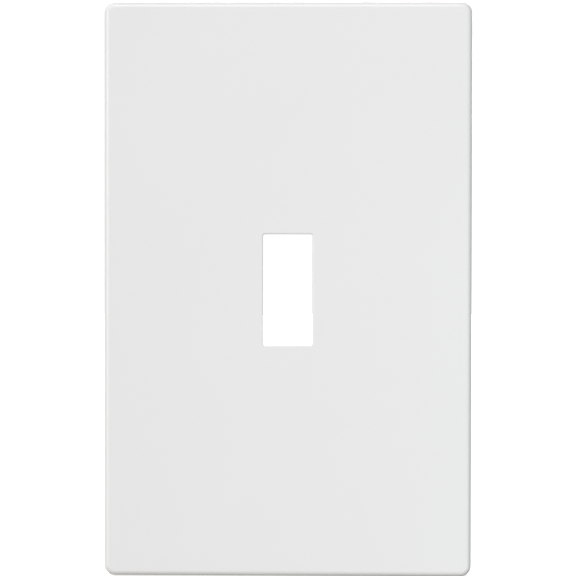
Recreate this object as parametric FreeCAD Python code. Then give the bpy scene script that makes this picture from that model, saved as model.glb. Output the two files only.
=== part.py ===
"""Screwless toggle wall plate: a clip-on cover, the mounting plate behind it with its four snap
fingers, and the two captive screws that hold the mounting plate to a switch.

Frame: millimetres, +Z up, +X to the right seen from the room, +Y into the wall.
The wall is the plane Y = 0, and the origin is midway between the two screws on that plane.
"""

import FreeCAD
import Part

import math
import os

Vector = FreeCAD.Vector
INTO_WALL = Vector(0, 1, 0)
UP = Vector(0, 0, 1)

# Cover: outer size of the one-gang mid-size plate
COVER_WIDTH = 79.4
COVER_HEIGHT = 123.8
COVER_DEPTH = 8.4
CORNER_RADIUS = 2.5
FRONT_EDGE_RADIUS = 1.15
FACE_THICKNESS = 2.0
SKIRT_THICKNESS = 1.6
SKIRT_DRAFT = 0.25
INNER_CORNER_RADIUS = 1.0
REAR_EDGE_RADIUS = 0.2
RIB_EDGE_RADIUS = 0.25

# Window for the switch's toggle
WINDOW_WIDTH = 10.5
WINDOW_HEIGHT = 23.8
WINDOW_CORNER_RADIUS = 0.35
WINDOW_EDGE_RADIUS = 0.35
WINDOW_DRAFT = 0.05  # how much each side opens out per millimetre of depth
COLLAR_THICKNESS = 1.2
COLLAR_HEIGHT = 1.4

# Stiffening and centring ribs inside the cover
RIB_THICKNESS = 1.0
RIB_HEIGHT = 1.2
LONG_RIB_X = 24.0
CROSS_RIB_Z = (20.0, 50.0)
GUIDE_RIB_THICKNESS = 1.2
GUIDE_RIB_GAP = 0.3
GUIDE_RIB_STANDOFF = 1.0
END_GUIDE_X = 20.0
SIDE_GUIDE_Z = 10.0

# Shallow round marks that the mould's ejector pins leave
EJECTOR_RADIUS = 1.75
EJECTOR_DEPTH = 0.12
COVER_EJECTOR_X = (12.0, 32.0)
COVER_EJECTOR_Z = (35.0, 56.0)
PLATE_EJECTOR_X = (17.0,)
PLATE_EJECTOR_Z = (20.0, 50.0)

# Slot in the bottom of the skirt for a screwdriver blade
PRY_SLOT_WIDTH = 12.0
PRY_SLOT_DEPTH = 1.3

# Mounting plate
PLATE_WIDTH = 69.2
PLATE_HEIGHT = 113.6
PLATE_CORNER_RADIUS = 3.0
PLATE_EDGE_RADIUS = 0.5
PLATE_FRONT_Y = -4.6
WEB_THICKNESS = 1.7
RIM_THICKNESS = 1.4
RIM_WALL_GAP = 0.4
PLATE_WINDOW_WIDTH = 13.6
PLATE_WINDOW_HEIGHT = 27.4
PLATE_WINDOW_RADIUS = 1.2
PLATE_WINDOW_EDGE_RADIUS = 0.3
WINDOW_FRAME_THICKNESS = 1.2
BACK_RIB_X = 22.0
BACK_RIB_THICKNESS = 1.2
BACK_RIB_Y = -0.9
TIE_RIB_Z = 50.0
CENTRE_NOTCH = 1.2
ARROW_WIDTH = 6.0
ARROW_HEIGHT = 5.0
ARROW_RELIEF = 0.3
ARROW_Z = 44.0

# Switch strap that the mounting plate is screwed against
STRAP_Y = -1.6

# Screws: 6-32 UNC oval head, 5/8 inch, 60.3 mm apart as on every toggle switch
SCREW_SPACING = 60.325
SCREW_LENGTH = 15.875
THREAD_RADIUS = 1.753
NECK_RADIUS = 1.5
HEAD_RADIUS = 3.5
HEAD_DOME = 1.1
HEAD_HALF_ANGLE = math.radians(41)
HEAD_SINK = 0.02
SLOT_WIDTH = 1.1
SLOT_DEPTH = 1.2
CROSS_LENGTH = 4.2
CROSS_DEPTH = 1.9
TIP_CHAMFER = 0.65
THREAD_START_Y = STRAP_Y - 0.05
NECK_CHAMFER = 0.1
HOLE_RADIUS = 2.0
SINK_RADIUS = 3.65
SINK_EDGE_RADIUS = 0.15
BOSS_RADIUS = 6.0

# Fibre washers that keep the screws captive, in a pocket behind each screw hole
RETAINER_RADIUS = 4.0
RETAINER_THICKNESS = 0.53
RETAINER_GAP = 0.05
RETAINER_BORE_GAP = 0.02
POCKET_RADIUS = 4.4
POCKET_DEPTH = 0.7

# Snap fingers, moulded at the plate's sides, and the ratchet tabs on the cover that they hold
FINGER_ROOT_Z = 27.0
FINGER_TIP_Z = 44.5
FINGER_SLOT = 1.5
FINGER_END_GAP = 1.0
ROOT_RADIUS = 0.5
ROOT_CLEARANCE = 0.03
ROOT_NECK = 0.12
SLOT_WALL_THICKNESS = 1.3
SLOT_WALL_OVERRUN = 2.5
NOSE_Y = -2.5
NOSE_HEIGHT = 0.9
NOSE_TIP_WIDTH = 0.12
NOSE_WIDTH = 5.0
CATCH_Z = 41.0
TAB_WIDTH = 7.0
TAB_THICKNESS = 1.3
TAB_INNER_X = 35.75
TOOTH_HEIGHT = 0.5
TOOTH_CREST = 0.1
STEEP_RUN = 0.3
GENTLE_RUN = 0.6
TOOTH_COUNT = 4
CATCH_CLEARANCE = 0.12

# Derived planes and sizes
FRONT_Y = -COVER_DEPTH
INNER_FACE_Y = FRONT_Y + FACE_THICKNESS
WEB_BACK_Y = PLATE_FRONT_Y + WEB_THICKNESS
RIM_BACK_Y = -RIM_WALL_GAP
PLATE_EDGE_X = PLATE_WIDTH / 2
PLATE_EDGE_Z = PLATE_HEIGHT / 2
FINGER_INNER_X = PLATE_EDGE_X - RIM_THICKNESS
FINGER_MID_X = PLATE_EDGE_X - RIM_THICKNESS / 2
SLOT_INNER_X = FINGER_INNER_X - FINGER_SLOT
NOSE_TIP_X = PLATE_EDGE_X + NOSE_HEIGHT
CREST_X = TAB_INNER_X - TOOTH_HEIGHT
STEEP_SLOPE = STEEP_RUN / TOOTH_HEIGHT
GENTLE_SLOPE = GENTLE_RUN / TOOTH_HEIGHT
TOOTH_PITCH = TOOTH_CREST + STEEP_RUN + GENTLE_RUN
SCREW_Z = SCREW_SPACING / 2
FUSE_DEPTH = 0.2


def outline(width, height, radius, y):
    """Closed wire of a rounded rectangle centred on the Y axis, in the plane at depth y."""
    centre_x, centre_z = width / 2 - radius, height / 2 - radius

    def on_corner(quarter, degrees):
        middle = math.radians(90 * quarter + 45)
        angle = math.radians(90 * quarter + degrees)
        x = math.copysign(centre_x, math.cos(middle)) + radius * math.cos(angle)
        z = math.copysign(centre_z, math.sin(middle)) + radius * math.sin(angle)
        return Vector(x, y, z)

    edges = []
    for quarter in range(4):
        start, middle, end = (on_corner(quarter, degrees) for degrees in (0, 45, 90))
        edges.append(Part.Arc(start, middle, end).toShape())
        edges.append(Part.LineSegment(end, on_corner(quarter + 1, 0)).toShape())
    return Part.Wire(edges)


def rounded_block(width, height, radius, y_front, y_back):
    """Rounded rectangular prism from y_front to y_back."""
    return Part.Face(outline(width, height, radius, y_front)).extrude(INTO_WALL * (y_back - y_front))


def box(x_range, y_range, z_range):
    """Box between three pairs of coordinates."""
    low = Vector(*(min(pair) for pair in (x_range, y_range, z_range)))
    size = Vector(*(abs(pair[1] - pair[0]) for pair in (x_range, y_range, z_range)))
    return Part.makeBox(size.x, size.y, size.z, low)


def disc(radius, y_front, y_back, x=0.0, z=0.0):
    """Cylinder along Y."""
    return Part.makeCylinder(radius, y_back - y_front, Vector(x, y_front, z), INTO_WALL)


def prism(points, width, z_centre):
    """Polygon of (x, y) points, extruded along Z about z_centre."""
    corners = [Vector(x, y, z_centre - width / 2) for x, y in points]
    return Part.Face(Part.makePolygon(corners + corners[:1])).extrude(UP * width)


def mirrored_x(shape):
    return shape.mirror(Vector(0, 0, 0), Vector(1, 0, 0))


def mirrored_z(shape):
    return shape.mirror(Vector(0, 0, 0), UP)


def four_ways(shape):
    """The shape from the upper right quarter, repeated in all four quarters."""
    pair = [shape, mirrored_x(shape)]
    return pair + [mirrored_z(each) for each in pair]


def ejector_marks(y, x_places, z_places):
    """Cutters for the marks in all four quarters, sunk into the face that lies at depth y."""
    marks = []
    for x in x_places:
        for z in z_places:
            marks += four_ways(disc(EJECTOR_RADIUS, y - EJECTOR_DEPTH, y + EJECTOR_DEPTH, x, z))
    return marks


def edges_in_plane(shape, y):
    """Edges that lie wholly in the plane at depth y."""
    tolerance = 1e-4
    return [
        edge
        for edge in shape.Edges
        if abs(edge.BoundBox.YMin - y) < tolerance and abs(edge.BoundBox.YMax - y) < tolerance
    ]


def edges_near_axis(shape, y, reach):
    """Edges in the plane at depth y that stay within reach of the window's axis along X and Z."""
    boxes = [(edge, edge.BoundBox) for edge in edges_in_plane(shape, y)]
    return [
        edge
        for edge, limits in boxes
        if max(-limits.XMin, limits.XMax, -limits.ZMin, limits.ZMax) < reach
    ]


def rib(x_range, y_range, z_range):
    """Box whose two long edges at its free rear face are rounded."""
    body = box(x_range, y_range, z_range)
    rear_edges = sorted(edges_in_plane(body, max(y_range)), key=lambda edge: edge.Length)
    return body.makeFillet(RIB_EDGE_RADIUS, rear_edges[-2:])


def rounded_rear(body, y_back):
    """The body with every edge of its rear face rounded."""
    return body.makeFillet(RIB_EDGE_RADIUS, edges_in_plane(body, y_back))


def cover_shell():
    """Tapered tray with rounded front edges, open towards the wall."""
    narrow = 2 * SKIRT_DRAFT
    outer = Part.makeLoft(
        [
            outline(COVER_WIDTH, COVER_HEIGHT, CORNER_RADIUS, 0),
            outline(COVER_WIDTH - narrow, COVER_HEIGHT - narrow, CORNER_RADIUS - SKIRT_DRAFT, FRONT_Y),
        ],
        True,
        True,
    )
    outer = outer.makeFillet(FRONT_EDGE_RADIUS, edges_in_plane(outer, FRONT_Y))
    walls = 2 * SKIRT_THICKNESS
    hollow = Part.makeLoft(
        [
            outline(COVER_WIDTH - walls, COVER_HEIGHT - walls, INNER_CORNER_RADIUS, 0),
            outline(
                COVER_WIDTH - walls - narrow,
                COVER_HEIGHT - walls - narrow,
                INNER_CORNER_RADIUS,
                INNER_FACE_Y,
            ),
        ],
        True,
        True,
    )
    shell = outer.cut(hollow)
    return shell.makeFillet(REAR_EDGE_RADIUS, edges_in_plane(shell, 0))


def cover_ribs():
    """Shallow lattice that stiffens the face, and the collar behind the window."""
    back = INNER_FACE_Y + RIB_HEIGHT
    half_width = COVER_WIDTH / 2 - SKIRT_THICKNESS
    half_height = COVER_HEIGHT / 2 - SKIRT_THICKNESS
    front = INNER_FACE_Y - FUSE_DEPTH
    half = RIB_THICKNESS / 2
    ribs = []
    for side in (-1, 1):
        x = side * LONG_RIB_X
        ribs.append(rib((x - half, x + half), (front, back), (-half_height, half_height)))
        for height in CROSS_RIB_Z:
            z = side * height
            ribs.append(rib((-half_width, half_width), (front, back), (z - half, z + half)))
    collar_back = INNER_FACE_Y + COLLAR_HEIGHT
    collar = rounded_block(
        WINDOW_WIDTH + 2 * COLLAR_THICKNESS,
        WINDOW_HEIGHT + 2 * COLLAR_THICKNESS,
        WINDOW_CORNER_RADIUS + COLLAR_THICKNESS,
        front,
        collar_back,
    )
    return ribs + [rounded_rear(collar, collar_back)]


def window_opening():
    """Cutter for the window, which opens out towards the wall so that it leaves the mould."""
    sections = []
    for y in (FRONT_Y, 0):
        spread = 2 * WINDOW_DRAFT * (y - FRONT_Y)
        sections.append(outline(WINDOW_WIDTH + spread, WINDOW_HEIGHT + spread, WINDOW_CORNER_RADIUS, y))
    return Part.makeLoft(sections, True, True)


def guide_ribs():
    """Fins from the skirt that stop just short of the mounting plate's edges and so centre the cover."""
    front, back = INNER_FACE_Y - FUSE_DEPTH, -GUIDE_RIB_STANDOFF
    half = GUIDE_RIB_THICKNESS / 2
    skirt_x = COVER_WIDTH / 2 - SKIRT_THICKNESS + FUSE_DEPTH
    skirt_z = COVER_HEIGHT / 2 - SKIRT_THICKNESS + FUSE_DEPTH
    inner_x = PLATE_EDGE_X + GUIDE_RIB_GAP
    inner_z = PLATE_EDGE_Z + GUIDE_RIB_GAP
    end_fin = rib((END_GUIDE_X - half, END_GUIDE_X + half), (front, back), (inner_z, skirt_z))
    side_fin = rib((inner_x, skirt_x), (front, back), (SIDE_GUIDE_Z - half, SIDE_GUIDE_Z + half))
    return four_ways(end_fin) + four_ways(side_fin)


def ratchet_tab():
    """Upper right tab: four sawteeth facing the snap finger, steep towards the room."""
    nose_flank = NOSE_Y + NOSE_TIP_WIDTH / 2 + (NOSE_TIP_X - CREST_X) * STEEP_SLOPE
    holding_crest = nose_flank + CATCH_CLEARANCE + TOOTH_CREST / 2
    first_crest = holding_crest + TOOTH_PITCH
    tip_y = first_crest + TOOTH_CREST / 2 + GENTLE_RUN
    points = [(TAB_INNER_X + TAB_THICKNESS, tip_y), (TAB_INNER_X, tip_y)]
    for tooth in range(TOOTH_COUNT):
        crest = first_crest - tooth * TOOTH_PITCH
        points.append((CREST_X, crest + TOOTH_CREST / 2))
        points.append((CREST_X, crest - TOOTH_CREST / 2))
        points.append((TAB_INNER_X, crest - TOOTH_CREST / 2 - STEEP_RUN))
    front = INNER_FACE_Y - FUSE_DEPTH
    points += [(TAB_INNER_X, front), (TAB_INNER_X + TAB_THICKNESS, front)]
    return prism(points, TAB_WIDTH, CATCH_Z)


def cover_plate():
    """The clip-on cover: shell, ribs, centring fins, ratchet tabs, window and pry slot in one moulding."""
    body = cover_shell()
    body = body.multiFuse(cover_ribs() + guide_ribs() + four_ways(ratchet_tab()))
    envelope = rounded_block(COVER_WIDTH, COVER_HEIGHT, CORNER_RADIUS, FRONT_Y, 0)
    body = body.common(envelope)
    pry_slot = box(
        (-PRY_SLOT_WIDTH / 2, PRY_SLOT_WIDTH / 2),
        (-PRY_SLOT_DEPTH, 1),
        (-COVER_HEIGHT / 2 - 1, -COVER_HEIGHT / 2 + SKIRT_THICKNESS + 1),
    )
    marks = ejector_marks(INNER_FACE_Y, COVER_EJECTOR_X, COVER_EJECTOR_Z)
    body = body.cut([window_opening(), pry_slot] + marks).removeSplitter()
    return body.makeFillet(WINDOW_EDGE_RADIUS, edges_near_axis(body, FRONT_Y, COVER_WIDTH / 4))


def plate_tray():
    """Web and rim of the mounting plate, before its holes are cut."""
    outer = rounded_block(PLATE_WIDTH, PLATE_HEIGHT, PLATE_CORNER_RADIUS, PLATE_FRONT_Y, RIM_BACK_Y)
    outer = outer.makeFillet(PLATE_EDGE_RADIUS, edges_in_plane(outer, PLATE_FRONT_Y))
    hollow = rounded_block(
        PLATE_WIDTH - 2 * RIM_THICKNESS,
        PLATE_HEIGHT - 2 * RIM_THICKNESS,
        PLATE_CORNER_RADIUS - RIM_THICKNESS,
        WEB_BACK_Y,
        RIM_BACK_Y,
    )
    tray = outer.cut(hollow)
    return tray.makeFillet(REAR_EDGE_RADIUS, edges_in_plane(tray, RIM_BACK_Y))


def plate_stiffeners():
    """Ribs, slot walls, window frame and screw bosses that stand behind the web."""
    front = WEB_BACK_Y - FUSE_DEPTH
    inner_z = PLATE_EDGE_Z - RIM_THICKNESS + FUSE_DEPTH
    half = BACK_RIB_THICKNESS / 2
    slot_wall = rib(
        (SLOT_INNER_X - SLOT_WALL_THICKNESS, SLOT_INNER_X),
        (front, BACK_RIB_Y),
        (FINGER_ROOT_Z - SLOT_WALL_OVERRUN, FINGER_TIP_Z + FINGER_END_GAP + SLOT_WALL_OVERRUN),
    )
    tie_rib = rib(
        (BACK_RIB_X, FINGER_INNER_X + FUSE_DEPTH), (front, BACK_RIB_Y), (TIE_RIB_Z - half, TIE_RIB_Z + half)
    )
    stiffeners = four_ways(slot_wall) + four_ways(tie_rib)
    for side in (-1, 1):
        x = side * BACK_RIB_X
        stiffeners.append(rib((x - half, x + half), (front, BACK_RIB_Y), (-inner_z, inner_z)))
        boss = disc(BOSS_RADIUS, front, STRAP_Y, z=side * SCREW_Z)
        stiffeners.append(rounded_rear(boss, STRAP_Y))
    frame = rounded_block(
        PLATE_WINDOW_WIDTH + 2 * WINDOW_FRAME_THICKNESS,
        PLATE_WINDOW_HEIGHT + 2 * WINDOW_FRAME_THICKNESS,
        PLATE_WINDOW_RADIUS + WINDOW_FRAME_THICKNESS,
        front,
        STRAP_Y,
    )
    return stiffeners + [rounded_rear(frame, STRAP_Y)]


def screw_hole(z):
    """Cutter for one screw: countersink in front, clearance hole, washer pocket behind."""
    sink_depth = (SINK_RADIUS - HOLE_RADIUS) / math.tan(HEAD_HALF_ANGLE)
    sink = Part.makeCone(SINK_RADIUS, HOLE_RADIUS, sink_depth, Vector(0, PLATE_FRONT_Y, z), INTO_WALL)
    hole = disc(HOLE_RADIUS, PLATE_FRONT_Y, STRAP_Y + 1, z=z)
    pocket = disc(POCKET_RADIUS, STRAP_Y - POCKET_DEPTH, STRAP_Y + 1, z=z)
    return sink.multiFuse([hole, pocket])


def finger_opening():
    """Cutter for the upper right finger: its slot, its end gap and the round seat at its root."""
    y_range = (PLATE_FRONT_Y - 1, RIM_BACK_Y + 1)
    opening = box(
        (SLOT_INNER_X, PLATE_EDGE_X + 1), y_range, (FINGER_ROOT_Z, FINGER_TIP_Z + FINGER_END_GAP)
    )
    slot_end = disc(FINGER_SLOT / 2, *y_range, x=SLOT_INNER_X + FINGER_SLOT / 2, z=FINGER_ROOT_Z)
    seat = disc(ROOT_RADIUS + ROOT_CLEARANCE, *y_range, x=FINGER_MID_X, z=FINGER_ROOT_Z)
    return opening.multiFuse([slot_end, seat])


def centre_notches():
    """V notches in the middle of all four rims, for setting the plate level and central."""
    depth = CENTRE_NOTCH * 2
    notch = Part.makeBox(depth, RIM_BACK_Y - PLATE_FRONT_Y + 2, depth, Vector(-depth / 2, 0, -depth / 2))
    notch.rotate(Vector(0, 0, 0), INTO_WALL, 45)
    half_diagonal = depth / math.sqrt(2)
    notch.translate(Vector(0, PLATE_FRONT_Y - 1, half_diagonal - CENTRE_NOTCH))
    top, right = notch.copy(), notch.copy()
    top.translate(UP * PLATE_EDGE_Z)
    right.rotate(Vector(0, 0, 0), INTO_WALL, 90)
    right.translate(Vector(PLATE_EDGE_X, 0, 0))
    return [top, mirrored_z(top), right, mirrored_x(right)]


def up_arrow():
    """Raised triangle on the front of the web that shows which way is up."""
    corners = [
        Vector(-ARROW_WIDTH / 2, PLATE_FRONT_Y + FUSE_DEPTH, ARROW_Z),
        Vector(0, PLATE_FRONT_Y + FUSE_DEPTH, ARROW_Z + ARROW_HEIGHT),
        Vector(ARROW_WIDTH / 2, PLATE_FRONT_Y + FUSE_DEPTH, ARROW_Z),
    ]
    face = Part.Face(Part.makePolygon(corners + corners[:1]))
    return face.extrude(INTO_WALL * -(ARROW_RELIEF + FUSE_DEPTH))


def mounting_plate():
    """The plate screwed to the switch, without its four fingers."""
    body = plate_tray().multiFuse(plate_stiffeners() + [up_arrow()])
    window = rounded_block(
        PLATE_WINDOW_WIDTH, PLATE_WINDOW_HEIGHT, PLATE_WINDOW_RADIUS, PLATE_FRONT_Y - 1, 0
    )
    cutters = [window] + [screw_hole(side * SCREW_Z) for side in (-1, 1)]
    cutters += four_ways(finger_opening()) + centre_notches()
    cutters += ejector_marks(PLATE_FRONT_Y, PLATE_EJECTOR_X, PLATE_EJECTOR_Z)
    body = body.cut(cutters).removeSplitter()
    window_edges = edges_near_axis(body, PLATE_FRONT_Y, PLATE_WINDOW_HEIGHT / 2 + 1)
    body = body.makeFillet(PLATE_WINDOW_EDGE_RADIUS, window_edges)
    sink_rims = [
        edge
        for edge in edges_in_plane(body, PLATE_FRONT_Y)
        if abs(edge.BoundBox.XLength - 2 * SINK_RADIUS) < SINK_EDGE_RADIUS
    ]
    return body.makeFillet(SINK_EDGE_RADIUS, sink_rims)


def snap_finger():
    """Upper right finger: a cantilever with a round root and the nose that the ratchet tab catches."""
    arm = box(
        (FINGER_INNER_X, PLATE_EDGE_X), (PLATE_FRONT_Y, RIM_BACK_Y), (FINGER_ROOT_Z + ROOT_NECK, FINGER_TIP_Z)
    )
    front_edge = [
        edge
        for edge in edges_in_plane(arm, PLATE_FRONT_Y)
        if edge.BoundBox.XMin > PLATE_EDGE_X - RIM_THICKNESS / 2
    ]
    arm = arm.makeFillet(PLATE_EDGE_RADIUS, front_edge)
    rear_edges = sorted(edges_in_plane(arm, RIM_BACK_Y), key=lambda edge: edge.Length)
    arm = arm.makeFillet(REAR_EDGE_RADIUS, rear_edges[-2:])
    root = disc(ROOT_RADIUS, PLATE_FRONT_Y, RIM_BACK_Y, x=FINGER_MID_X, z=FINGER_ROOT_Z)
    neck = box(
        (FINGER_MID_X - ROOT_RADIUS, FINGER_MID_X + ROOT_RADIUS),
        (PLATE_FRONT_Y, RIM_BACK_Y),
        (FINGER_ROOT_Z, FINGER_ROOT_Z + ROOT_NECK + FUSE_DEPTH),
    )
    base_x, half_tip = PLATE_EDGE_X - FUSE_DEPTH, NOSE_TIP_WIDTH / 2
    rise = NOSE_TIP_X - base_x
    nose = prism(
        [
            (base_x, NOSE_Y + half_tip + rise * STEEP_SLOPE),
            (NOSE_TIP_X, NOSE_Y + half_tip),
            (NOSE_TIP_X, NOSE_Y - half_tip),
            (base_x, NOSE_Y - half_tip - rise * GENTLE_SLOPE),
        ],
        NOSE_WIDTH,
        CATCH_Z,
    )
    return arm.multiFuse([root, neck, nose]).removeSplitter()


def mounting_screw(z):
    """Oval head screw along Y, with a slot and a cross recess. Its thread is a plain cylinder here."""
    head_y = PLATE_FRONT_Y + HEAD_SINK
    dome_y = head_y - HEAD_DOME
    cone_end = head_y + (HEAD_RADIUS - NECK_RADIUS) / math.tan(HEAD_HALF_ANGLE)
    tip_y = PLATE_FRONT_Y + SCREW_LENGTH
    dome_radius = (HEAD_RADIUS**2 + HEAD_DOME**2) / (2 * HEAD_DOME)
    half_span = math.asin(HEAD_RADIUS / dome_radius) / 2
    dome_mid = (
        dome_radius * math.sin(half_span),
        dome_y + dome_radius * (1 - math.cos(half_span)),
    )
    rest = [
        (HEAD_RADIUS, head_y),
        (NECK_RADIUS, cone_end),
        (NECK_RADIUS, THREAD_START_Y - NECK_CHAMFER),
        (THREAD_RADIUS, THREAD_START_Y),
        (THREAD_RADIUS, tip_y - TIP_CHAMFER),
        (THREAD_RADIUS - TIP_CHAMFER, tip_y),
        (0, tip_y),
        (0, dome_y),
    ]

    def at(point):
        return Vector(point[0], point[1], 0)

    edges = [Part.Arc(at((0, dome_y)), at(dome_mid), at(rest[0])).toShape()]
    edges += [Part.LineSegment(at(a), at(b)).toShape() for a, b in zip(rest, rest[1:])]
    body = Part.Face(Part.Wire(edges)).revolve(Vector(0, 0, 0), INTO_WALL, 360)
    half = SLOT_WIDTH / 2
    slot = box((-HEAD_RADIUS - 1, HEAD_RADIUS + 1), (dome_y - 1, dome_y + SLOT_DEPTH), (-half, half))
    cross = [
        box((-a, a), (dome_y - 1, dome_y + CROSS_DEPTH), (-b, b))
        for a, b in ((CROSS_LENGTH / 2, half), (half, CROSS_LENGTH / 2))
    ]
    body = body.cut([slot] + cross).removeSplitter()
    body.translate(Vector(0, 0, z))
    return body


def screw_retainer(z):
    """Fibre washer pushed onto the screw's neck behind the mounting plate."""
    front = STRAP_Y - POCKET_DEPTH + RETAINER_GAP
    back = front + RETAINER_THICKNESS
    bore = disc(NECK_RADIUS + RETAINER_BORE_GAP, front, back, z=z)
    return disc(RETAINER_RADIUS, front, back, z=z).cut(bore)


def build():
    """Every sub-part by its node name."""
    parts = {"cover_plate": cover_plate(), "mounting_plate": mounting_plate()}
    corners = ("upper_right", "upper_left", "lower_right", "lower_left")
    for corner, finger in zip(corners, four_ways(snap_finger())):
        parts["snap_finger_" + corner] = finger
    for end, z in (("upper", SCREW_Z), ("lower", -SCREW_Z)):
        parts["mounting_screw_" + end] = mounting_screw(z)
        parts["screw_retainer_" + end] = screw_retainer(z)
    return parts


def main():
    os.makedirs("parts", exist_ok=True)
    for name, shape in build().items():
        box_size = shape.BoundBox
        print(
            f"{name}: solids {len(shape.Solids)}, valid {shape.isValid()}, volume {shape.Volume:.1f} mm3,"
            f" {box_size.XLength:.2f} x {box_size.YLength:.2f} x {box_size.ZLength:.2f} mm"
        )
        shape.exportStep(f"parts/{name}.step")


main()
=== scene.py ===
import math

import bmesh
import bpy
from mathutils import Matrix, Vector, noise


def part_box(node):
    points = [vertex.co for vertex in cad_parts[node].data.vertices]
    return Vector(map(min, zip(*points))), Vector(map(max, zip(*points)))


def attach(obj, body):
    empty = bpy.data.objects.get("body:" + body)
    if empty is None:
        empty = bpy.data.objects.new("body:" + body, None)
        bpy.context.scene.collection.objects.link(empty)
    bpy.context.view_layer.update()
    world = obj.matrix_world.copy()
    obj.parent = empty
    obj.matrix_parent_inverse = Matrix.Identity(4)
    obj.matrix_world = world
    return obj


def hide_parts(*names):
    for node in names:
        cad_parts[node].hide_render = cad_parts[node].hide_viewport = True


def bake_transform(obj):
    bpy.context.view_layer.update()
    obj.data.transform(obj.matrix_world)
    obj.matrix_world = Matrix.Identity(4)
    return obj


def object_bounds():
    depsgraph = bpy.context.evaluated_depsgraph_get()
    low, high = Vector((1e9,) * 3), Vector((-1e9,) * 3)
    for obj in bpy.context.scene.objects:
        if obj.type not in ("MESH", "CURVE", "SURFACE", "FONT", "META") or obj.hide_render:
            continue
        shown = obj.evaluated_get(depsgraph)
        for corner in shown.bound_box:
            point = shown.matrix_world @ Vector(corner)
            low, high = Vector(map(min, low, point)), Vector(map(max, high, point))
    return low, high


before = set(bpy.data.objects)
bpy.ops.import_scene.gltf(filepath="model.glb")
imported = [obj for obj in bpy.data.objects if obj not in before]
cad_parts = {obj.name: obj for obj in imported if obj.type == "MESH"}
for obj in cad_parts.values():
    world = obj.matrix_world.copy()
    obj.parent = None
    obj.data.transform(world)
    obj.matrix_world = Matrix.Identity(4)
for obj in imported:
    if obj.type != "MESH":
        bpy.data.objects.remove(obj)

CAD_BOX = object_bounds()
MM = 0.001

# Cover section, in millimetres. Y is the depth: 0 at the wall and negative towards the room.
COVER_LOW, COVER_HIGH = (Vector(corner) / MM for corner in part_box("cover_plate"))
HALF_X, HALF_Z = COVER_HIGH.x, COVER_HIGH.z
FRONT_Y = COVER_LOW.y
CORNER_RADIUS = 2.5
FRONT_RADIUS = 1.15
SKIRT_DRAFT = 0.25
SKIRT_THICKNESS = 1.6
REAR_RADIUS = 0.2
INNER_CORNER_RADIUS = 1.0
INNER_FILLET = 0.5
INNER_FACE_Y = FRONT_Y + 2.0
WINDOW_X, WINDOW_Z = 5.25, 11.9
WINDOW_CORNER_RADIUS = 0.35
WINDOW_EDGE_RADIUS = 0.35
WINDOW_DRAFT = 0.05
COLLAR_THICKNESS = 1.2
COLLAR_BACK_Y = INNER_FACE_Y + 1.4
COLLAR_CHAMFER = 0.1
RIB_ROUND = 0.25
ROOT_FILLET = 0.4
ROOT_SINK = 0.02
FUSE_DEPTH = 0.2
CUTTER_REACH = 1.0

# Faint unevenness of the face: its height, and how it starts from flat edges
FACE_WAVE = 0.008
FACE_WAVE_LENGTH = 26.0
FACE_WAVE_SLICE_Y = 40.0
WAVE_RIM_START, WAVE_RIM_RISE = 3.0, 8.0
WAVE_WINDOW_START, WAVE_WINDOW_RISE = 1.0, 5.0
FACE_TOLERANCE = 0.001

# Ribs, centring fins and ratchet tabs inside the cover
RIB_HALF = 0.5
RIB_BACK_Y = INNER_FACE_Y + 1.2
LONG_RIB_X = 24.0
CROSS_RIB_Z = (20.0, 50.0)
FIN_HALF = 0.6
FIN_BACK_Y = -1.0
FIN_GAP = 0.3
END_FIN_X = 20.0
SIDE_FIN_Z = 10.0
TAB_INNER_X = 35.75
TAB_THICKNESS = 1.3
TAB_HALF_WIDTH = 3.5
CATCH_Z = 41.0
TOOTH_HEIGHT = 0.5
TOOTH_CREST = 0.1
TOOTH_STEEP = 0.3
TOOTH_GENTLE = 0.6
TOOTH_CRESTS_Y = (-1.12, -2.12, -3.12, -4.12)
TAB_FLARE = 0.3
EJECTOR_RADIUS = 1.75
EJECTOR_DEPTH = 0.12
EJECTOR_FLARE = 0.05
EJECTOR_X = (12.0, 32.0)
EJECTOR_Z = (35.0, 56.0)
PRY_HALF = 6.0
PRY_DEPTH = 1.3
PRY_CORNER = 0.3
PRY_MOUTH = 0.4

# Mounting plate and its snap fingers
PLATE_HIGH = Vector(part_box("mounting_plate")[1]) / MM
PLATE_X, PLATE_Z = PLATE_HIGH.x, PLATE_HIGH.z
PLATE_FRONT_Y = -4.6
RIM_BACK_Y = -0.4
RIM_THICKNESS = 1.4
FINGER_ROOT_Z = 27.0
FINGER_TIP_Z = 44.5
FINGER_RADII = (0.12, 0.5, 0.2, 0.2)
# Distance along the finger from its root, or back from its tip, and how much larger the section is there
ROOT_PAD = ((-3.4, -0.2), (-2.6, 0.03), (-2.1, 0.1), (-1.6, 0.12), (0.3, 0.12), (0.9, 0.08), (1.4, 0.02))
FINGER_END = ((-0.12, 0.0), (-0.04, -0.03), (0.0, -0.1))
FINGER_PLAIN_START = 2.0
FINGER_STATIONS = 15
NOSE_Y = -2.5
NOSE_HEIGHT = 0.9
NOSE_HALF_TIP = 0.06
NOSE_HALF_WIDTH = 2.5

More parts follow.
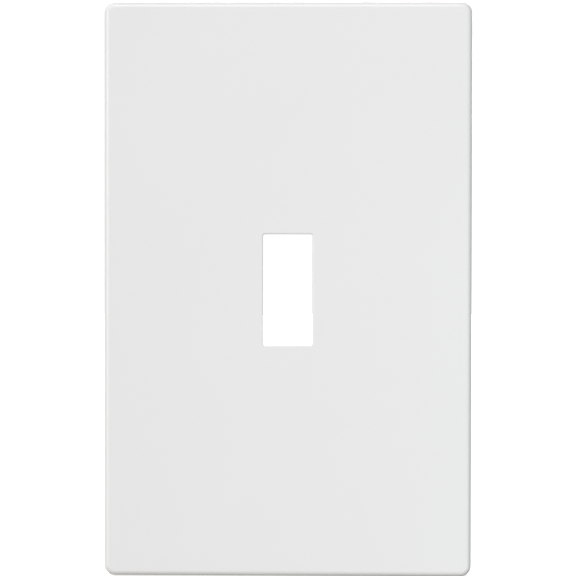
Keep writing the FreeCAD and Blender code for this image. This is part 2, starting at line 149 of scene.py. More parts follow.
# Screws and their captive washers
SCREW_SPACING = 60.325
SCREW_LENGTH = 15.875
HEAD_RADIUS = 3.5
HEAD_EDGE = 0.12
HEAD_ROUND = 0.03
HEAD_DOME = 1.1
HEAD_SINK = 0.02
HEAD_Y = PLATE_FRONT_Y + HEAD_SINK
HEAD_HALF_ANGLE = math.radians(41)
NECK_RADIUS = 1.5
NECK_GAP = 0.1
THREAD_RADIUS = 1.753
THREAD_PITCH = 25.4 / 32
THREAD_DEPTH = 0.48
THREAD_START_Y = -1.65
THREAD_FLANK_SLOPE = 2.6
THREAD_CREST = 0.16
SCREW_TIP_Y = PLATE_FRONT_Y + SCREW_LENGTH
TIP_CHAMFER = 0.65
SLOT_HALF = 0.55
SLOT_DEPTH = 1.2
CROSS_DEPTH = 1.9
CROSS_TOP_REACH, CROSS_TOP_HALF = 2.5, 0.62
CROSS_FLOOR_REACH, CROSS_FLOOR_HALF = 1.25, 0.36
WASHER_RADIUS = 4.0
WASHER_BORE = 1.52
WASHER_Y = (-2.25, -1.72)
WASHER_ROUND = 0.12

# How finely the meshes are divided
CORNER_STEPS = 12
SIDE_STEPS = (36, 56)
ROUND_STEPS = 10
SMALL_STEPS = 5
FACE_STEPS = 22
TURN_STEPS = 48
DOME_STEPS = 14
THREAD_STEPS = 16
WASHER_STEPS = 3
FACE_SHARES = [0.004] + [i / FACE_STEPS for i in range(1, FACE_STEPS)] + [0.995]
SKIRT_SHARES = (0.04, 0.25, 0.5, 0.75, 0.96)
SMOOTH_ANGLE = math.radians(32)
MERGE_DISTANCE = 1e-7

# Most of a noise's values lie between these
NOISE_LOW, NOISE_HIGH = 0.3, 0.7

# Camera, surround, floor and lights
CAMERA_AIM = Vector((-0.15, 0.0, 0.155)) * MM
CAMERA_AZIMUTH = math.radians(1.6)
CAMERA_ELEVATION = math.radians(1.7)
CAMERA_ROLL = math.radians(0.076)
CAMERA_DISTANCE = 0.6957
CAMERA_LENS = 200.0
WORLD_BASE = (0.431, 0.403, 0.391)
WORLD_SLOPES = (((-1, 0, 0), 0.18), ((0, -1, 0), 0.134), ((0, 0, 1), 0.232))
WORLD_WHITE = 1.12
FLOOR_RADII = (0.5, 300.0, 750.0, 1500.0)
FLOOR_GAP = 0.02
FLOOR_GLOW = 0.6
WHITE = (1.0, 1.0, 1.0)
# Name, place, size and power in metres and watts, and colour
SOFTBOXES = (
    ("key_left", (-2.15, -2.1, 0.3), 1.0, 20.0, WHITE),
    ("key_top", (-0.2, -1.4, 1.45), 0.7, 7.2, WHITE),
    ("fill_right", (0.2, -0.25, -0.06), 0.35, 0.29, (0.78, 0.99, 1.0)),
    ("fill_top", (-0.12, -0.28, 0.25), 0.35, 0.109, (0.67, 0.78, 1.0)),
    ("behind", (0.0, 2.2, 0.45), 0.8, 34.0, WHITE),
)


# ---------------------------------------------------------------- mesh building

def angles(start, end, steps):
    """Angles in radians from start to end degrees, both included."""
    return [math.radians(start + (end - start) * i / steps) for i in range(steps + 1)]


def full_turn():
    """Angles of one whole turn, without the first again at the end."""
    return angles(0, 360 - 360 / TURN_STEPS, TURN_STEPS - 1)


def between(a, b, t):
    """Values part of the way from a to b."""
    return tuple(p + (q - p) * t for p, q in zip(a, b))


def mesh_object(name, points, faces):
    """Object from millimetre points, with its faces turned outwards."""
    mesh = bpy.data.meshes.new(name)
    mesh.from_pydata([Vector(point) * MM for point in points], [], faces)
    form = bmesh.new()
    form.from_mesh(mesh)
    bmesh.ops.recalc_face_normals(form, faces=form.faces)
    form.to_mesh(mesh)
    form.free()
    thing = bpy.data.objects.new(name, mesh)
    bpy.context.scene.collection.objects.link(thing)
    return thing


def lofted(name, rings, closed=False):
    """Skin over rings of equal length; open skins get a flat cap at each end."""
    count = len(rings[0])
    points = [point for ring in rings for point in ring]
    faces = []
    for row in range(len(rings) if closed else len(rings) - 1):
        here, there = row * count, (row + 1) % len(rings) * count
        for i in range(count):
            j = (i + 1) % count
            faces.append((here + i, here + j, there + j, there + i))
    if not closed:
        faces += [tuple(range(count)), tuple(range(len(points) - count, len(points)))]
    return mesh_object(name, points, faces)


def outline(half_x, half_z, radius, y):
    """Rounded rectangle across the depth axis, always with the same number of points."""
    points = []
    for quarter in range(4):
        sign_x, sign_z = (1, -1, -1, 1)[quarter], (1, 1, -1, -1)[quarter]
        centre_x, centre_z = sign_x * (half_x - radius), sign_z * (half_z - radius)
        for angle in angles(90 * quarter, 90 * quarter + 90, CORNER_STEPS):
            points.append((centre_x + radius * math.cos(angle), y, centre_z + radius * math.sin(angle)))
        across = quarter % 2 == 0
        steps = SIDE_STEPS[0] if across else SIDE_STEPS[1]
        last = points[-1]
        reach = (-2 * centre_x, 0) if across else (0, -2 * centre_z)
        for i in range(1, steps):
            points.append((last[0] + reach[0] * i / steps, y, last[2] + reach[1] * i / steps))
    return points


def bar(name, section, low, high, along="z"):
    """Section of (side, depth) points, drawn out from low to high along X or Z."""
    rings = []
    for place in (low, high):
        if along == "z":
            rings.append([(side, depth, place) for side, depth in section])
        else:
            rings.append([(place, depth, side) for side, depth in section])
    return lofted(name, rings)


def rib_section(middle, half, back):
    """Rib section that flares out where it leaves the inner face and is rounded at its free edge."""
    right = [(half + ROOT_FILLET, INNER_FACE_Y - FUSE_DEPTH)]
    fillet_y = INNER_FACE_Y + ROOT_FILLET - ROOT_SINK
    for angle in angles(270, 180, SMALL_STEPS):
        right.append(
            (half + ROOT_FILLET + ROOT_FILLET * math.cos(angle), fillet_y + ROOT_FILLET * math.sin(angle))
        )
    for angle in angles(0, 90, SMALL_STEPS):
        right.append((half - RIB_ROUND * (1 - math.cos(angle)), back - RIB_ROUND * (1 - math.sin(angle))))
    left = [(-side, depth) for side, depth in reversed(right)]
    return [(middle + side, depth) for side, depth in right + left]


def ring(radii, depth, x, z):
    """Points at a depth round the line along Y through x and z, each at its own radius."""
    return [(x + r * math.cos(a), depth, z + r * math.sin(a)) for r, a in zip(radii, full_turn())]


def turned_rings(profile, x, z):
    """Rings of a profile of (radius, depth) points turned about the line along Y through x and z."""
    return [ring([radius] * TURN_STEPS, depth, x, z) for radius, depth in profile]


def mirrored(thing, sign_x, sign_z):
    """Copy of the thing in another quarter."""
    copy = thing.copy()
    copy.data = thing.data.copy()
    copy.data.transform(Matrix.Diagonal((sign_x, 1, sign_z, 1)))
    if sign_x * sign_z < 0:
        copy.data.flip_normals()
    bpy.context.scene.collection.objects.link(copy)
    return copy


def four_ways(thing):
    """The thing and its copies in the other three quarters."""
    return [thing] + [mirrored(thing, *signs) for signs in ((-1, 1), (1, -1), (-1, -1))]


def combined(body, others, operation):
    """The body with the other solids joined to it or cut from it."""
    group = bpy.data.collections.new("operands")
    for other in others:
        group.objects.link(other)
    step = body.modifiers.new("combine", "BOOLEAN")
    step.operation = operation
    step.solver = "EXACT"
    step.operand_type = "COLLECTION"
    step.collection = group
    graph = bpy.context.evaluated_depsgraph_get()
    mesh = bpy.data.meshes.new_from_object(body.evaluated_get(graph))
    body.modifiers.clear()
    body.data = mesh
    for other in others:
        bpy.data.objects.remove(other)
    bpy.data.collections.remove(group)
    return body


def smoothed(thing):
    """Smooth shading that keeps true edges sharp and flat faces flat."""
    mesh = thing.data
    form = bmesh.new()
    form.from_mesh(mesh)
    bmesh.ops.remove_doubles(form, verts=form.verts, dist=MERGE_DISTANCE)
    bmesh.ops.dissolve_degenerate(form, edges=form.edges, dist=MERGE_DISTANCE)
    form.to_mesh(mesh)
    form.free()
    mesh.polygons.foreach_set("use_smooth", [True] * len(mesh.polygons))
    mesh.set_sharp_from_angle(angle=SMOOTH_ANGLE)
    weigh = thing.modifiers.new("weigh_normals", "WEIGHTED_NORMAL")
    weigh.keep_sharp = True
    return thing


# ---------------------------------------------------------------- cover

def front_edge():
    """Centre and first angle of the round that joins the skirt to the face, at both sides and ends."""
    draft = math.atan2(SKIRT_DRAFT, -FRONT_Y)
    centre_y = FRONT_Y + FRONT_RADIUS
    inset = -centre_y * math.tan(draft) + FRONT_RADIUS / math.cos(draft)
    return inset, centre_y, math.degrees(draft)


def cover_rings():
    """The cover's closed section, from the window's edge over the face and skirt to the inside and collar."""
    rows = []
    for angle in angles(0, 90, SMALL_STEPS):
        out = WINDOW_EDGE_RADIUS * (1 - math.cos(angle))
        depth = FRONT_Y + WINDOW_EDGE_RADIUS * (1 - math.sin(angle))
        out += WINDOW_DRAFT * (depth - FRONT_Y)
        rows.append((WINDOW_X + out, WINDOW_Z + out, WINDOW_CORNER_RADIUS + out, depth))
    inset, centre_y, first = front_edge()
    round_rows = []
    for angle in angles(90, first, ROUND_STEPS):
        out = FRONT_RADIUS * math.cos(angle) - inset
        depth = centre_y - FRONT_RADIUS * math.sin(angle)
        round_rows.append((HALF_X + out, HALF_Z + out, CORNER_RADIUS + out, depth))
    inner, outer = rows[-1], round_rows[0]
    rows += [between(inner, outer, share) for share in FACE_SHARES] + round_rows
    rim_start = (HALF_X, HALF_Z, CORNER_RADIUS, -REAR_RADIUS)
    rows += [between(round_rows[-1], rim_start, share) for share in SKIRT_SHARES]
    for angle in angles(0, 90, SMALL_STEPS):
        out = -REAR_RADIUS * (1 - math.cos(angle))
        rows.append((HALF_X + out, HALF_Z + out, CORNER_RADIUS + out, REAR_RADIUS * (math.sin(angle) - 1)))
    wall_x, wall_z = HALF_X - SKIRT_THICKNESS, HALF_Z - SKIRT_THICKNESS
    for angle in angles(90, 0, SMALL_STEPS):
        out = REAR_RADIUS * (1 - math.cos(angle))
        depth = REAR_RADIUS * (math.sin(angle) - 1)
        rows.append((wall_x + out, wall_z + out, INNER_CORNER_RADIUS + out, depth))
    foot_x, foot_z = wall_x - SKIRT_DRAFT, wall_z - SKIRT_DRAFT
    for angle in angles(0, 90, SMALL_STEPS):
        out = -INNER_FILLET * (1 - math.cos(angle))
        depth = INNER_FACE_Y + INNER_FILLET * (1 - math.sin(angle))
        rows.append((foot_x + out, foot_z + out, INNER_CORNER_RADIUS + out, depth))
    collar_x, collar_z = WINDOW_X + COLLAR_THICKNESS, WINDOW_Z + COLLAR_THICKNESS
    collar_radius = WINDOW_CORNER_RADIUS + COLLAR_THICKNESS
    for angle in angles(270, 180, SMALL_STEPS):
        out = ROOT_FILLET * (1 + math.cos(angle))
        depth = INNER_FACE_Y + ROOT_FILLET * (1 + math.sin(angle))
        rows.append((collar_x + out, collar_z + out, collar_radius + out, depth))
    for angle in angles(0, 90, SMALL_STEPS):
        out = -RIB_ROUND * (1 - math.cos(angle))
        depth = COLLAR_BACK_Y - RIB_ROUND * (1 - math.sin(angle))
        rows.append((collar_x + out, collar_z + out, collar_radius + out, depth))
    for depth, edge in ((COLLAR_BACK_Y, COLLAR_CHAMFER), (COLLAR_BACK_Y - COLLAR_CHAMFER, 0)):
        out = edge + WINDOW_DRAFT * (depth - FRONT_Y)
        rows.append((WINDOW_X + out, WINDOW_Z + out, WINDOW_CORNER_RADIUS + edge, depth))
    return [outline(*row) for row in rows]


def waved(thing):
    """Faint unevenness of a moulded face, fading out towards its edges."""
    for vertex in thing.data.vertices:
        x, y, z = vertex.co / MM
        if y > FRONT_Y + FACE_TOLERANCE:
            continue
        rim_gap = min(HALF_X - abs(x), HALF_Z - abs(z)) - WAVE_RIM_START
        window_gap = max(abs(x) - WINDOW_X, abs(z) - WINDOW_Z) - WAVE_WINDOW_START
        fade = min(1.0, max(0.0, rim_gap) / WAVE_RIM_RISE, max(0.0, window_gap) / WAVE_WINDOW_RISE)
        wave = noise.noise(Vector((x, FACE_WAVE_SLICE_Y, z)) / FACE_WAVE_LENGTH)
        vertex.co.y += FACE_WAVE * wave * fade * MM
    return thing


def ratchet_section():
    """Sawteeth that face the snap finger, steep towards the room."""
    tip_y = TOOTH_CRESTS_Y[0] + TOOTH_CREST / 2 + TOOTH_GENTLE
    outer_x, crest_x = TAB_INNER_X + TAB_THICKNESS, TAB_INNER_X - TOOTH_HEIGHT
    points = [(outer_x, tip_y), (TAB_INNER_X, tip_y)]
    for crest in TOOTH_CRESTS_Y:
        points.append((crest_x, crest + TOOTH_CREST / 2))
        points.append((crest_x, crest - TOOTH_CREST / 2))
        points.append((TAB_INNER_X, crest - TOOTH_CREST / 2 - TOOTH_STEEP))
    points.append((TAB_INNER_X, INNER_FACE_Y + TAB_FLARE))
    points.append((TAB_INNER_X - TAB_FLARE, INNER_FACE_Y - FUSE_DEPTH))
    points.append((outer_x, INNER_FACE_Y - FUSE_DEPTH))
    return points


def cover_insides():
    """Stiffening ribs, centring fins and ratchet tabs, each a solid that reaches into the shell."""
    wall_x, wall_z = HALF_X - SKIRT_THICKNESS, HALF_Z - SKIRT_THICKNESS
    solids = []
    for side in (-1, 1):
        section = rib_section(side * LONG_RIB_X, RIB_HALF, RIB_BACK_Y)
        solids.append(bar("long_rib", section, -wall_z, wall_z))
        for height in CROSS_RIB_Z:
            section = rib_section(side * height, RIB_HALF, RIB_BACK_Y)
            solids.append(bar("cross_rib", section, -wall_x, wall_x, "x"))
    fin = rib_section(END_FIN_X, FIN_HALF, FIN_BACK_Y)
    solids += four_ways(bar("end_fin", fin, PLATE_Z + FIN_GAP, wall_z + FUSE_DEPTH))
    fin = rib_section(SIDE_FIN_Z, FIN_HALF, FIN_BACK_Y)
    solids += four_ways(bar("side_fin", fin, PLATE_X + FIN_GAP, wall_x + FUSE_DEPTH, "x"))
    tab = bar("ratchet_tab", ratchet_section(), CATCH_Z - TAB_HALF_WIDTH, CATCH_Z + TAB_HALF_WIDTH)
    return solids + four_ways(tab)


def cover_cuts():
    """Round ejector marks on the inner face and the slot for a screwdriver in the bottom skirt."""
    cuts = []
    mark = [
        (EJECTOR_RADIUS, INNER_FACE_Y - EJECTOR_DEPTH),
        (EJECTOR_RADIUS + EJECTOR_FLARE, INNER_FACE_Y + EJECTOR_DEPTH),
    ]
    for x in EJECTOR_X:
        for z in EJECTOR_Z:
            cuts += four_ways(lofted("ejector_mark", turned_rings(mark, x, z)))
    slot = [(-PRY_HALF - PRY_MOUTH, CUTTER_REACH), (-PRY_HALF, -REAR_RADIUS)]
    slot += [(-PRY_HALF, -PRY_DEPTH + PRY_CORNER), (-PRY_HALF + PRY_CORNER, -PRY_DEPTH)]
    slot += [(-side, depth) for side, depth in reversed(slot)]
    inner_z = -HALF_Z + SKIRT_THICKNESS
    cuts.append(bar("pry_slot", slot, -HALF_Z - CUTTER_REACH, inner_z + CUTTER_REACH))
    return cuts


def cover():
    """The clip-on cover in one moulding."""
    shell = waved(lofted("cover_shell", cover_rings(), closed=True))
    shell = combined(shell, cover_insides(), "UNION")
    return smoothed(combined(shell, cover_cuts(), "DIFFERENCE"))


# ---------------------------------------------------------------- snap fingers

def finger_section(grow):
    """Section of a finger, with the plate's own edge rounds, made larger all round by grow."""
    low_x, high_x = PLATE_X - RIM_THICKNESS - grow, PLATE_X + grow
    low_y, high_y = PLATE_FRONT_Y - grow, RIM_BACK_Y + grow
    corners = ((low_x, low_y, 180), (high_x, low_y, 270), (high_x, high_y, 0), (low_x, high_y, 90))
    points = []
    for (x, y, start), radius in zip(corners, FINGER_RADII):
        radius += max(grow, 0)
        centre_x = x + radius if x == low_x else x - radius
        centre_y = y + radius if y == low_y else y - radius
        for angle in angles(start, start + 90, SMALL_STEPS):
            points.append((centre_x + radius * math.cos(angle), centre_y + radius * math.sin(angle)))
    return points


def snap_finger():
    """Upper right finger with its nose: it grows out of the rim through a thicker root pad."""
    stations = [(FINGER_ROOT_Z + along, grow) for along, grow in ROOT_PAD]
    stations += [(FINGER_ROOT_Z + FINGER_PLAIN_START + i, 0.0) for i in range(FINGER_STATIONS)]
    stations += [(FINGER_TIP_Z + along, grow) for along, grow in FINGER_END]
    rings = [[(x, y, z) for x, y in finger_section(grow)] for z, grow in stations]
    arm = lofted("finger_arm", rings)
    base_x, tip_x = PLATE_X - FUSE_DEPTH, PLATE_X + NOSE_HEIGHT
    rise = tip_x - base_x
    nose = [
        (base_x, NOSE_Y + NOSE_HALF_TIP + rise * TOOTH_STEEP / TOOTH_HEIGHT),
        (tip_x, NOSE_Y + NOSE_HALF_TIP),
        (tip_x, NOSE_Y - NOSE_HALF_TIP),
        (base_x, NOSE_Y - NOSE_HALF_TIP - rise * TOOTH_GENTLE / TOOTH_HEIGHT),
    ]
    catch = bar("nose", nose, CATCH_Z - NOSE_HALF_WIDTH, CATCH_Z + NOSE_HALF_WIDTH)
    return combined(arm, [catch], "UNION")


def add_fingers(material):
    """All four fingers, each reaching from the mounting plate to its own tip."""
    corners = ("upper_right", "upper_left", "lower_right", "lower_left")
    for corner, finger in zip(corners, four_ways(snap_finger())):
        finger.name = "finger_" + corner
        finger.data.materials.append(material)
        smoothed(finger)
        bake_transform(finger)
        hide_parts("snap_finger_" + corner)


# ---------------------------------------------------------------- screws and washers

def thread_radius(depth, angle):
    """Outer radius of the thread at a depth and an angle, with both ends fading out."""
    phase = ((depth - THREAD_START_Y) / THREAD_PITCH - angle / math.tau) % 1.0
    groove = min(1.0, max(0.0, (0.5 - abs(phase - 0.5)) * THREAD_FLANK_SLOPE - THREAD_CREST))
    start_fade = min(1.0, max(0.0, (depth - THREAD_START_Y) / THREAD_PITCH))
    end_cut = max(0.0, depth - (SCREW_TIP_Y - TIP_CHAMFER))
    radius = THREAD_RADIUS - THREAD_DEPTH * groove * start_fade
    return min(radius, THREAD_RADIUS - end_cut)


def screw_profile():
    """Dome, edge, cone and neck of the screw as (radius, depth) points."""
    dome_y = HEAD_Y - HEAD_DOME
    sphere = (HEAD_RADIUS**2 + HEAD_DOME**2) / (2 * HEAD_DOME)
    span = math.asin((HEAD_RADIUS - HEAD_EDGE) / sphere)
    profile = []
    for i in range(1, DOME_STEPS + 1):
        angle = span * i / DOME_STEPS
        profile.append((sphere * math.sin(angle), dome_y + sphere * (1 - math.cos(angle))))
    profile.append((HEAD_RADIUS - HEAD_ROUND, HEAD_Y - HEAD_ROUND))
    profile.append((HEAD_RADIUS - HEAD_ROUND / 3, HEAD_Y + HEAD_ROUND))
    slope = math.tan(HEAD_HALF_ANGLE)
    cone_end = HEAD_Y + (HEAD_RADIUS - NECK_RADIUS) / slope
    profile.append((HEAD_RADIUS - HEAD_EDGE, HEAD_Y + HEAD_EDGE / slope + HEAD_SINK))
    profile.append((NECK_RADIUS + HEAD_EDGE, cone_end - HEAD_EDGE / slope))
    profile.append((NECK_RADIUS, cone_end + NECK_GAP))
    profile.append((NECK_RADIUS, THREAD_START_Y - NECK_GAP))
    return profile


def recess_cuts(z):
    """Straight slot and tapered cross recess in the head."""
    dome_y = HEAD_Y - HEAD_DOME
    top, side = dome_y - CUTTER_REACH, HEAD_RADIUS + CUTTER_REACH
    slot = [(-side, top), (side, top), (side, dome_y + SLOT_DEPTH), (-side, dome_y + SLOT_DEPTH)]
    cuts = [bar("slot", slot, z - SLOT_HALF, z + SLOT_HALF)]
    levels = (
        (top, CROSS_TOP_REACH, CROSS_TOP_HALF),
        (dome_y + CROSS_DEPTH, CROSS_FLOOR_REACH, CROSS_FLOOR_HALF),
    )
    for across in (False, True):
        rings = []
        for depth, reach, half in levels:
            side_x, side_z = (half, reach) if across else (reach, half)
            corners = ((-side_x, -side_z), (side_x, -side_z), (side_x, side_z), (-side_x, side_z))
            rings.append([(x, depth, z + height) for x, height in corners])
        cuts.append(lofted("cross", rings))
    return cuts


def screw(name, z):
    """Oval head machine screw with a rolled thread."""
    rings = turned_rings(screw_profile(), 0.0, z)
    rows = round((SCREW_TIP_Y - THREAD_START_Y) / THREAD_PITCH * THREAD_STEPS)
    for row in range(rows + 1):
        depth = THREAD_START_Y + (SCREW_TIP_Y - THREAD_START_Y) * row / rows
        radii = [thread_radius(depth, angle) for angle in full_turn()]
        rings.append(ring(radii, depth, 0.0, z))
    return smoothed(combined(lofted(name, rings), recess_cuts(z), "DIFFERENCE"))


def washer(name, z):
    """Stamped fibre washer with softened edges."""
    front, back = WASHER_Y
    middle = (front + back) / 2
    half_x = (WASHER_RADIUS - WASHER_BORE) / 2
    half_y = (back - front) / 2
    centre = WASHER_BORE + half_x
    profile = []
    for quarter, (side, depth) in enumerate(((1, 1), (-1, 1), (-1, -1), (1, -1))):
        for angle in angles(90 * quarter, 90 * quarter + 90, WASHER_STEPS):
            radius = centre + side * (half_x - WASHER_ROUND) + WASHER_ROUND * math.cos(angle)
            place = middle + depth * (half_y - WASHER_ROUND) + WASHER_ROUND * math.sin(angle)
            profile.append((radius, place))
    return smoothed(lofted(name, turned_rings(profile, 0.0, z), closed=True))


def add_screws(steel, fibre):
    """Both screws with their washers."""
    for end, sign in (("upper", 1), ("lower", -1)):
        z = sign * SCREW_SPACING / 2
        for thing, node, material, slot_name in (
            (screw("screw_" + end, z), "mounting_screw_" + end, steel, "screw_steel"),
            (washer("washer_" + end, z), "screw_retainer_" + end, fibre, "retainer_fibre"),
        ):
            thing.data.materials.append(material)
            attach(thing, "screw_" + end)
            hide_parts(node)


# ---------------------------------------------------------------- materials

class Nodes:
    """Small helper that adds shader nodes to one material and wires them up."""

    def __init__(self, name):
        self.material = bpy.data.materials.new(name)
        self.material.use_nodes = True
        self.tree = self.material.node_tree
        self.shader = self.tree.nodes["Principled BSDF"]
        self.place = self.tree.nodes.new("ShaderNodeTexCoord").outputs["Object"]

    def set(self, **values):
        """Sets shader sockets that are the same all over; underscores stand for spaces."""
        for key, value in values.items():
            self.shader.inputs[key.replace("_", " ")].default_value = value

    def noise(self, scale, detail=3.0, stretch=(1, 1, 1)):
        """Noise with scale in waves per metre, stretched along the axes."""
        mapping = self.tree.nodes.new("ShaderNodeMapping")
        mapping.inputs["Scale"].default_value = stretch
        self.tree.links.new(self.place, mapping.inputs["Vector"])
        node = self.tree.nodes.new("ShaderNodeTexNoise")
        node.inputs["Scale"].default_value = scale
        node.inputs["Detail"].default_value = detail
        self.tree.links.new(mapping.outputs["Vector"], node.inputs["Vector"])
        return node.outputs["Fac"]

    def ranged(self, value, low, high):
        """The middle of a noise's range, remapped to low and high."""
        node = self.tree.nodes.new("ShaderNodeMapRange")
        node.inputs["From Min"].default_value = NOISE_LOW
        node.inputs["From Max"].default_value = NOISE_HIGH
        node.inputs["To Min"].default_value = low
        node.inputs["To Max"].default_value = high
        self.tree.links.new(value, node.inputs["Value"])
        return node.outputs["Result"]

    def colours(self, value, first, second):
        """Colour between two by a noise."""
        node = self.tree.nodes.new("ShaderNodeValToRGB")
        node.color_ramp.elements[0].position = NOISE_LOW
        node.color_ramp.elements[1].position = NOISE_HIGH
        node.color_ramp.elements[0].color = (*first, 1)
        node.color_ramp.elements[1].color = (*second, 1)
        self.tree.links.new(value, node.inputs["Fac"])
        self.tree.links.new(node.outputs["Color"], self.shader.inputs["Base Color"])

    def bumps(self, *layers):
        """Layers of (height, distance in millimetres), one on top of the other."""
        normal = None
        for height, distance in layers:
            node = self.tree.nodes.new("ShaderNodeBump")
            node.inputs["Distance"].default_value = distance * MM
            self.tree.links.new(height, node.inputs["Height"])
            if normal:
                self.tree.links.new(normal, node.inputs["Normal"])
            normal = node.outputs["Normal"]
        self.tree.links.new(normal, self.shader.inputs["Normal"])

    def rough(self, value):
        """Roughness from a noise."""
        self.tree.links.new(value, self.shader.inputs["Roughness"])


def cover_plastic():
    """White moulded plastic with a satin face: fine grain, a slow change of tone and of gloss."""
    nodes = Nodes("cover_plastic")
    nodes.colours(nodes.noise(36, 4), (0.860, 0.860, 0.855), (0.868, 0.868, 0.863))
    nodes.rough(nodes.ranged(nodes.noise(220, 4), 0.28, 0.31))
    nodes.bumps((nodes.noise(3800, 2), 0.002), (nodes.noise(900, 3), 0.0025))
    nodes.set(IOR=1.5)
    return nodes.material


def plate_plastic():
    """Matte white plastic of the mounting plate, with the grain of a spark-eroded mould."""
    nodes = Nodes("plate_plastic")
    nodes.colours(nodes.noise(60, 4), (0.785, 0.79, 0.78), (0.815, 0.815, 0.80))
    nodes.rough(nodes.ranged(nodes.noise(1500, 4), 0.5, 0.68))
    nodes.bumps((nodes.noise(5200, 3), 0.012), (nodes.noise(1700, 2), 0.008))
    nodes.set(IOR=1.5)
    return nodes.material


def screw_steel():
    """Zinc-plated steel: grey with a faint warm and cool drift, and fine marks round the axis."""
    nodes = Nodes("screw_steel")
    nodes.colours(nodes.noise(420, 4), (0.42, 0.44, 0.46), (0.54, 0.53, 0.50))
    nodes.rough(nodes.ranged(nodes.noise(2600, 5), 0.28, 0.42))
    nodes.bumps((nodes.noise(1500, 4, (1, 9, 1)), 0.006), (nodes.noise(7000, 2), 0.002))
    nodes.set(Metallic=1.0)
    return nodes.material


def retainer_fibre():
    """Red-brown vulcanised fibre: pressed paper with a felted, slightly streaky surface."""
    nodes = Nodes("retainer_fibre")
    nodes.colours(nodes.noise(1400, 6, (1, 1, 3)), (0.26, 0.095, 0.065), (0.40, 0.165, 0.115))
    nodes.rough(nodes.ranged(nodes.noise(2500, 4), 0.7, 0.9))
    nodes.bumps((nodes.noise(3000, 5, (1, 1, 4)), 0.02), (nodes.noise(3000, 5, (4, 1, 1)), 0.015))
    return nodes.material


# ---------------------------------------------------------------- studio

def add_camera():
    """Long lens, almost square on to the face."""
    camera = bpy.data.objects.new("camera", bpy.data.cameras.new("camera"))
    bpy.context.scene.collection.objects.link(camera)
    camera.data.lens = CAMERA_LENS
    camera.data.clip_start, camera.data.clip_end = 0.05, 20
    level = math.cos(CAMERA_ELEVATION)
    back = Vector(
        (
            math.sin(CAMERA_AZIMUTH) * level,
            -math.cos(CAMERA_AZIMUTH) * level,
            math.sin(CAMERA_ELEVATION),
        )
    )
    turn = (-back).to_track_quat("-Z", "Y").to_matrix().to_4x4()
    roll = Matrix.Rotation(CAMERA_ROLL, 4, "Z")
    camera.matrix_world = Matrix.Translation(CAMERA_AIM + back * CAMERA_DISTANCE) @ turn @ roll
    bpy.context.scene.camera = camera


def add_world():
    """White surround for the eye, and a softer one as light, brightest from the front, above and the left."""
    world = bpy.data.worlds.new("studio")
    bpy.context.scene.world = world
    world.use_nodes = True
    tree = world.node_tree
    tree.nodes.clear()
    place = tree.nodes.new("ShaderNodeTexCoord").outputs["Generated"]
    total = None
    for direction, slope in WORLD_SLOPES:
        dot = tree.nodes.new("ShaderNodeVectorMath")
        dot.operation = "DOT_PRODUCT"
        dot.inputs[1].default_value = [slope * part for part in direction]
        tree.links.new(place, dot.inputs[0])
        if total is None:
            total = dot.outputs["Value"]
            continue
        add = tree.nodes.new("ShaderNodeMath")
        tree.links.new(total, add.inputs[0])
        tree.links.new(dot.outputs["Value"], add.inputs[1])
        total = add.outputs["Value"]
    colour = tree.nodes.new("ShaderNodeVectorMath")
    colour.inputs[1].default_value = WORLD_BASE
    tree.links.new(total, colour.inputs[0])
    soft = tree.nodes.new("ShaderNodeBackground")
    tree.links.new(colour.outputs["Vector"], soft.inputs["Color"])
    white = tree.nodes.new("ShaderNodeBackground")
    white.inputs["Color"].default_value = (1, 1, 1, 1)
    white.inputs["Strength"].default_value = WORLD_WHITE
    mix = tree.nodes.new("ShaderNodeMixShader")
    tree.links.new(tree.nodes.new("ShaderNodeLightPath").outputs["Is Camera Ray"], mix.inputs["Fac"])
    tree.links.new(soft.outputs["Background"], mix.inputs[1])
    tree.links.new(white.outputs["Background"], mix.inputs[2])
    tree.links.new(mix.outputs["Shader"], tree.nodes.new("ShaderNodeOutputWorld").inputs["Surface"])


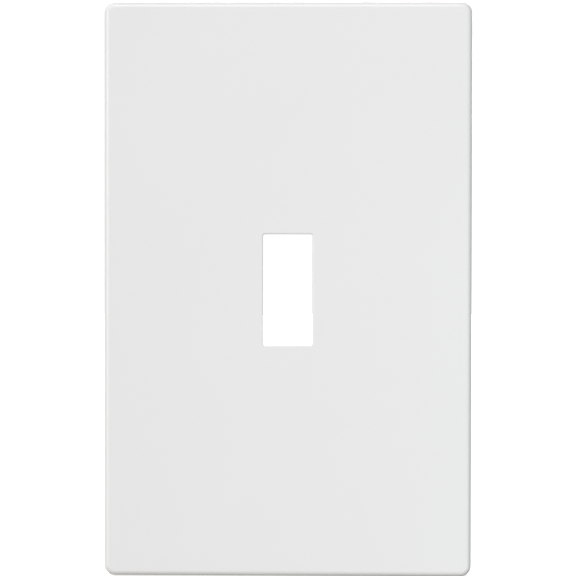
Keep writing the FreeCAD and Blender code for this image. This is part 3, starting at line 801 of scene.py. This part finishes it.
def add_floor():
    """Plain pale floor under the object."""
    level = CAD_BOX[0].z / MM - FLOOR_GAP
    rings = []
    for radius in FLOOR_RADII:
        rings.append([(radius * math.cos(a), radius * math.sin(a), level) for a in full_turn()])
    floor = lofted("floor", rings)
    form = bmesh.new()
    form.from_mesh(floor.data)
    outer_cap = max(form.faces, key=lambda face: face.calc_area())
    bmesh.ops.delete(form, geom=[outer_cap], context="FACES_ONLY")
    for face in form.faces:
        if face.normal.z < 0:
            face.normal_flip()
    form.to_mesh(floor.data)
    form.free()
    nodes = Nodes("floor_white")
    nodes.colours(nodes.noise(12, 3), (0.80, 0.80, 0.80), (0.82, 0.82, 0.82))
    nodes.set(Roughness=0.9, Emission_Color=(1, 1, 1, 1), Emission_Strength=FLOOR_GLOW)
    clear = nodes.tree.nodes.new("ShaderNodeBsdfTransparent")
    mix = nodes.tree.nodes.new("ShaderNodeMixShader")
    links = nodes.tree.links
    links.new(nodes.tree.nodes.new("ShaderNodeNewGeometry").outputs["Backfacing"], mix.inputs["Fac"])
    links.new(nodes.shader.outputs["BSDF"], mix.inputs[1])
    links.new(clear.outputs["BSDF"], mix.inputs[2])
    links.new(mix.outputs["Shader"], nodes.tree.nodes["Material Output"].inputs["Surface"])
    floor.data.materials.append(nodes.material)
    floor.visible_diffuse = False
    floor.visible_glossy = False
    floor.visible_shadow = False


def add_softbox(name, place, size, power, colour):
    """Square area light that faces the object."""
    light = bpy.data.lights.new(name, "AREA")
    light.size = size
    light.energy = power
    light.color = colour
    thing = bpy.data.objects.new(name, light)
    thing.location = place
    thing.rotation_euler = Vector(place).to_track_quat("Z", "Y").to_euler()
    thing.visible_camera = False
    bpy.context.scene.collection.objects.link(thing)


def add_studio():
    """Camera, surround, floor and lights."""
    add_camera()
    add_world()
    add_floor()
    for softbox in SOFTBOXES:
        add_softbox(*softbox)
    bpy.context.scene.view_settings.view_transform = "Standard"


def add_object():
    """Every piece, with its material."""
    gloss, matte = cover_plastic(), plate_plastic()
    shell = cover()
    shell.name = "cover"
    shell.data.materials.append(gloss)
    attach(shell, "cover")
    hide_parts("cover_plate")
    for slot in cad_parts["mounting_plate"].material_slots:
        slot.material = matte
    add_fingers(matte)
    add_screws(screw_steel(), retainer_fibre())


add_studio()
add_object()
